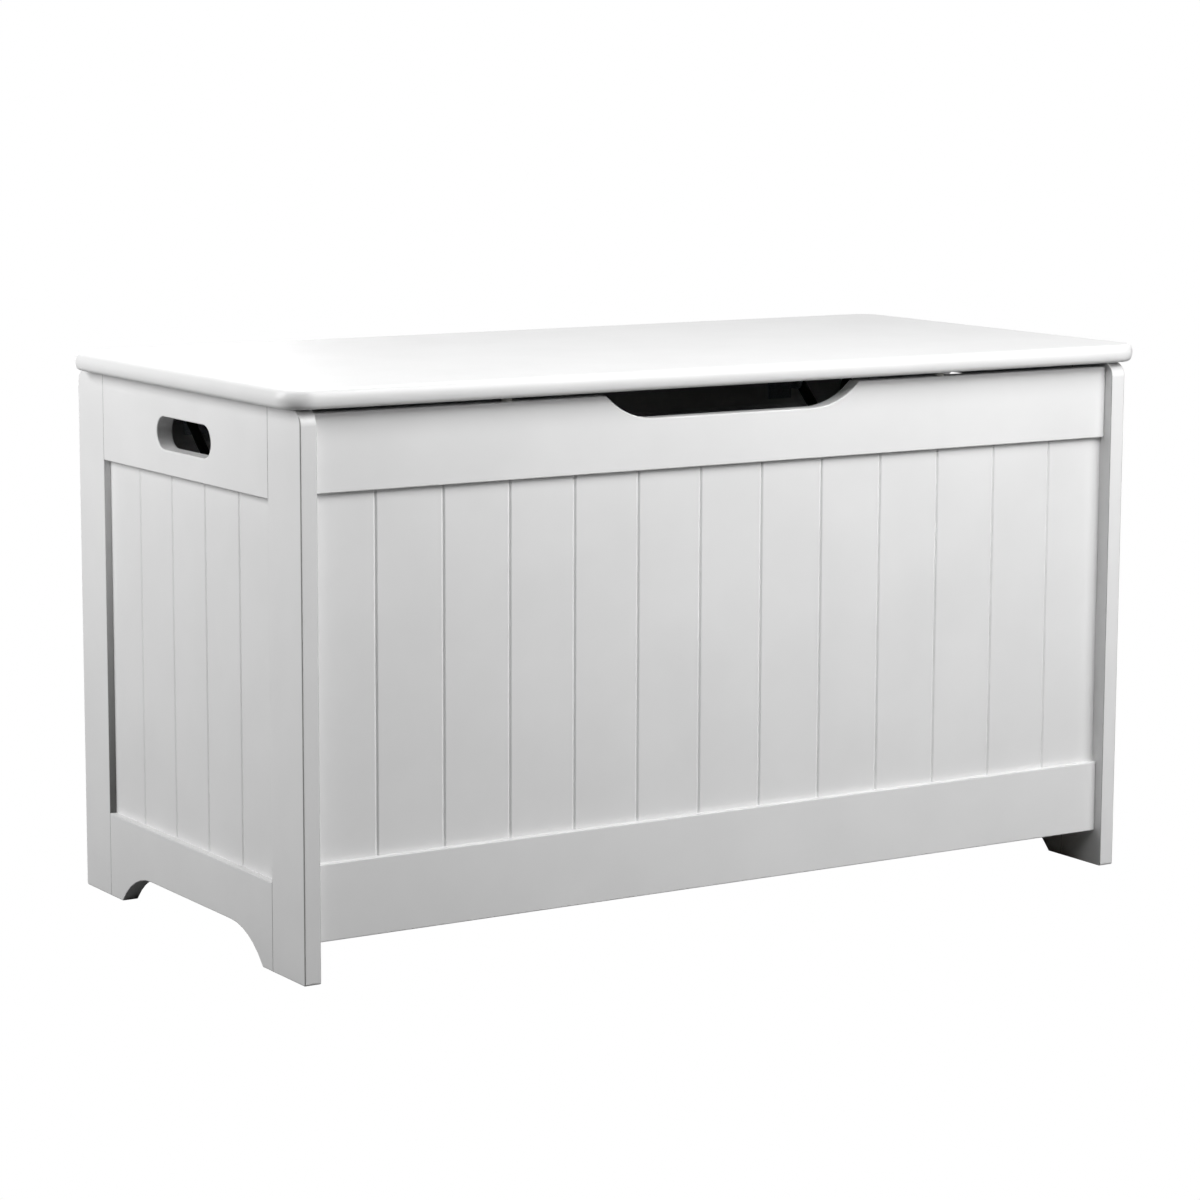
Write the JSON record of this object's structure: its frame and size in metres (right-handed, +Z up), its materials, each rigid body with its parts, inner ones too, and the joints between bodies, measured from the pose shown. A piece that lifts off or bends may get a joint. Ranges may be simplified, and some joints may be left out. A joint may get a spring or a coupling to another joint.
{
  "type": "toy box",
  "caption": "White painted toy box with grooved panels, a hinged lid on folding stays, a finger cut-out in front and a handle slot in each side.",
  "frame": {"origin": "middle of the footprint on the floor, centred on the whole box with its lid", "axes": "+X along the front, +Y from the front to the back, +Z up; the front faces -Y"},
  "size_m": [0.88, 0.433, 0.4872],
  "materials": {
    "lid_paint": "satin white lacquer on MDF",
    "frame_paint": "satin white lacquer on MDF",
    "panel_paint": "satin white lacquer on thin grooved MDF",
    "bare_pine": "planed, unfinished",
    "zinc_steel": "zinc plated",
    "black_steel": "black powder coat",
    "bumper_rubber": "soft pale rubber"
  },
  "bodies": {
    "box": {"front_top_rail": "frame_paint", "front_bottom_rail": "frame_paint", "front_beadboard": "panel_paint", "back_top_rail": "frame_paint", "back_bottom_rail": "frame_paint", "back_panel": "panel_paint", "floor_panel": "frame_paint", "front_floor_cleat": "bare_pine", "back_floor_cleat": "bare_pine", "left_floor_cleat": "bare_pine", "right_floor_cleat": "bare_pine", "left_front_stile": "frame_paint", "left_back_stile": "frame_paint", "left_top_rail": "frame_paint", "left_bottom_rail": "frame_paint", "left_beadboard": "panel_paint", "right_front_stile": "frame_paint", "right_back_stile": "frame_paint", "right_top_rail": "frame_paint", "right_bottom_rail": "frame_paint", "right_beadboard": "panel_paint", "left_hinge_box_leaf": "zinc_steel", "left_hinge_pin": "zinc_steel", "right_hinge_box_leaf": "zinc_steel", "right_hinge_pin": "zinc_steel", "left_stay_box_bracket": "zinc_steel", "left_stay_box_rivet": "zinc_steel", "right_stay_box_bracket": "zinc_steel", "right_stay_box_rivet": "zinc_steel", "lid_bumpers": "bumper_rubber", "side_frame_dowels": "bare_pine", "rail_dowels": "bare_pine", "cam_bolts": "zinc_steel", "cam_locks": "zinc_steel", "cleat_screws": "zinc_steel", "hinge_box_screws": "zinc_steel", "stay_box_screws": "zinc_steel"},
    "left_lower_arm": {"left_stay_lower_arm": "black_steel", "left_stay_elbow_rivet": "zinc_steel"},
    "left_upper_arm": {"left_stay_upper_arm": "black_steel"},
    "right_lower_arm": {"right_stay_lower_arm": "black_steel", "right_stay_elbow_rivet": "zinc_steel"},
    "right_upper_arm": {"right_stay_upper_arm": "black_steel"},
    "lid": {"lid_board": "lid_paint", "left_hinge_lid_leaf": "zinc_steel", "right_hinge_lid_leaf": "zinc_steel", "left_stay_lid_bracket": "zinc_steel", "left_stay_lid_rivet": "zinc_steel", "right_stay_lid_bracket": "zinc_steel", "right_stay_lid_rivet": "zinc_steel", "hinge_lid_screws": "zinc_steel", "stay_lid_screws": "zinc_steel"}
  },
  "joints": [
    {"name": "lid_hinge", "type": "hinge", "parent": "box", "child": "lid", "pos_m": [0, 0.2115, 0.46885], "axis": [-1, 0, 0], "range_deg": [0, 90]},
    {"name": "left_lower_arm_pivot", "type": "hinge", "parent": "box", "child": "left_lower_arm", "pos_m": [-0.3348, 0.179, 0.426], "axis": [-1, 0, 0], "range_deg": [0, 131]},
    {"name": "left_upper_arm_pivot", "type": "hinge", "parent": "lid", "child": "left_upper_arm", "pos_m": [-0.3371, 0.0915, 0.4612], "axis": [-1, 0, 0], "range_deg": [-52.3, 0]},
    {"name": "right_lower_arm_pivot", "type": "hinge", "parent": "box", "child": "right_lower_arm", "pos_m": [0.3348, 0.179, 0.426], "axis": [-1, 0, 0], "range_deg": [0, 131]},
    {"name": "right_upper_arm_pivot", "type": "hinge", "parent": "lid", "child": "right_upper_arm", "pos_m": [0.3371, 0.0915, 0.4612], "axis": [-1, 0, 0], "range_deg": [-52.3, 0]}
  ],
  "couplings": [
    {"joint": "left_lower_arm_pivot", "follows": "lid_hinge", "ratio": 1.4549},
    {"joint": "left_upper_arm_pivot", "follows": "lid_hinge", "ratio": -0.57968},
    {"joint": "right_lower_arm_pivot", "follows": "lid_hinge", "ratio": 1.4549},
    {"joint": "right_upper_arm_pivot", "follows": "lid_hinge", "ratio": -0.57968}
  ]
}
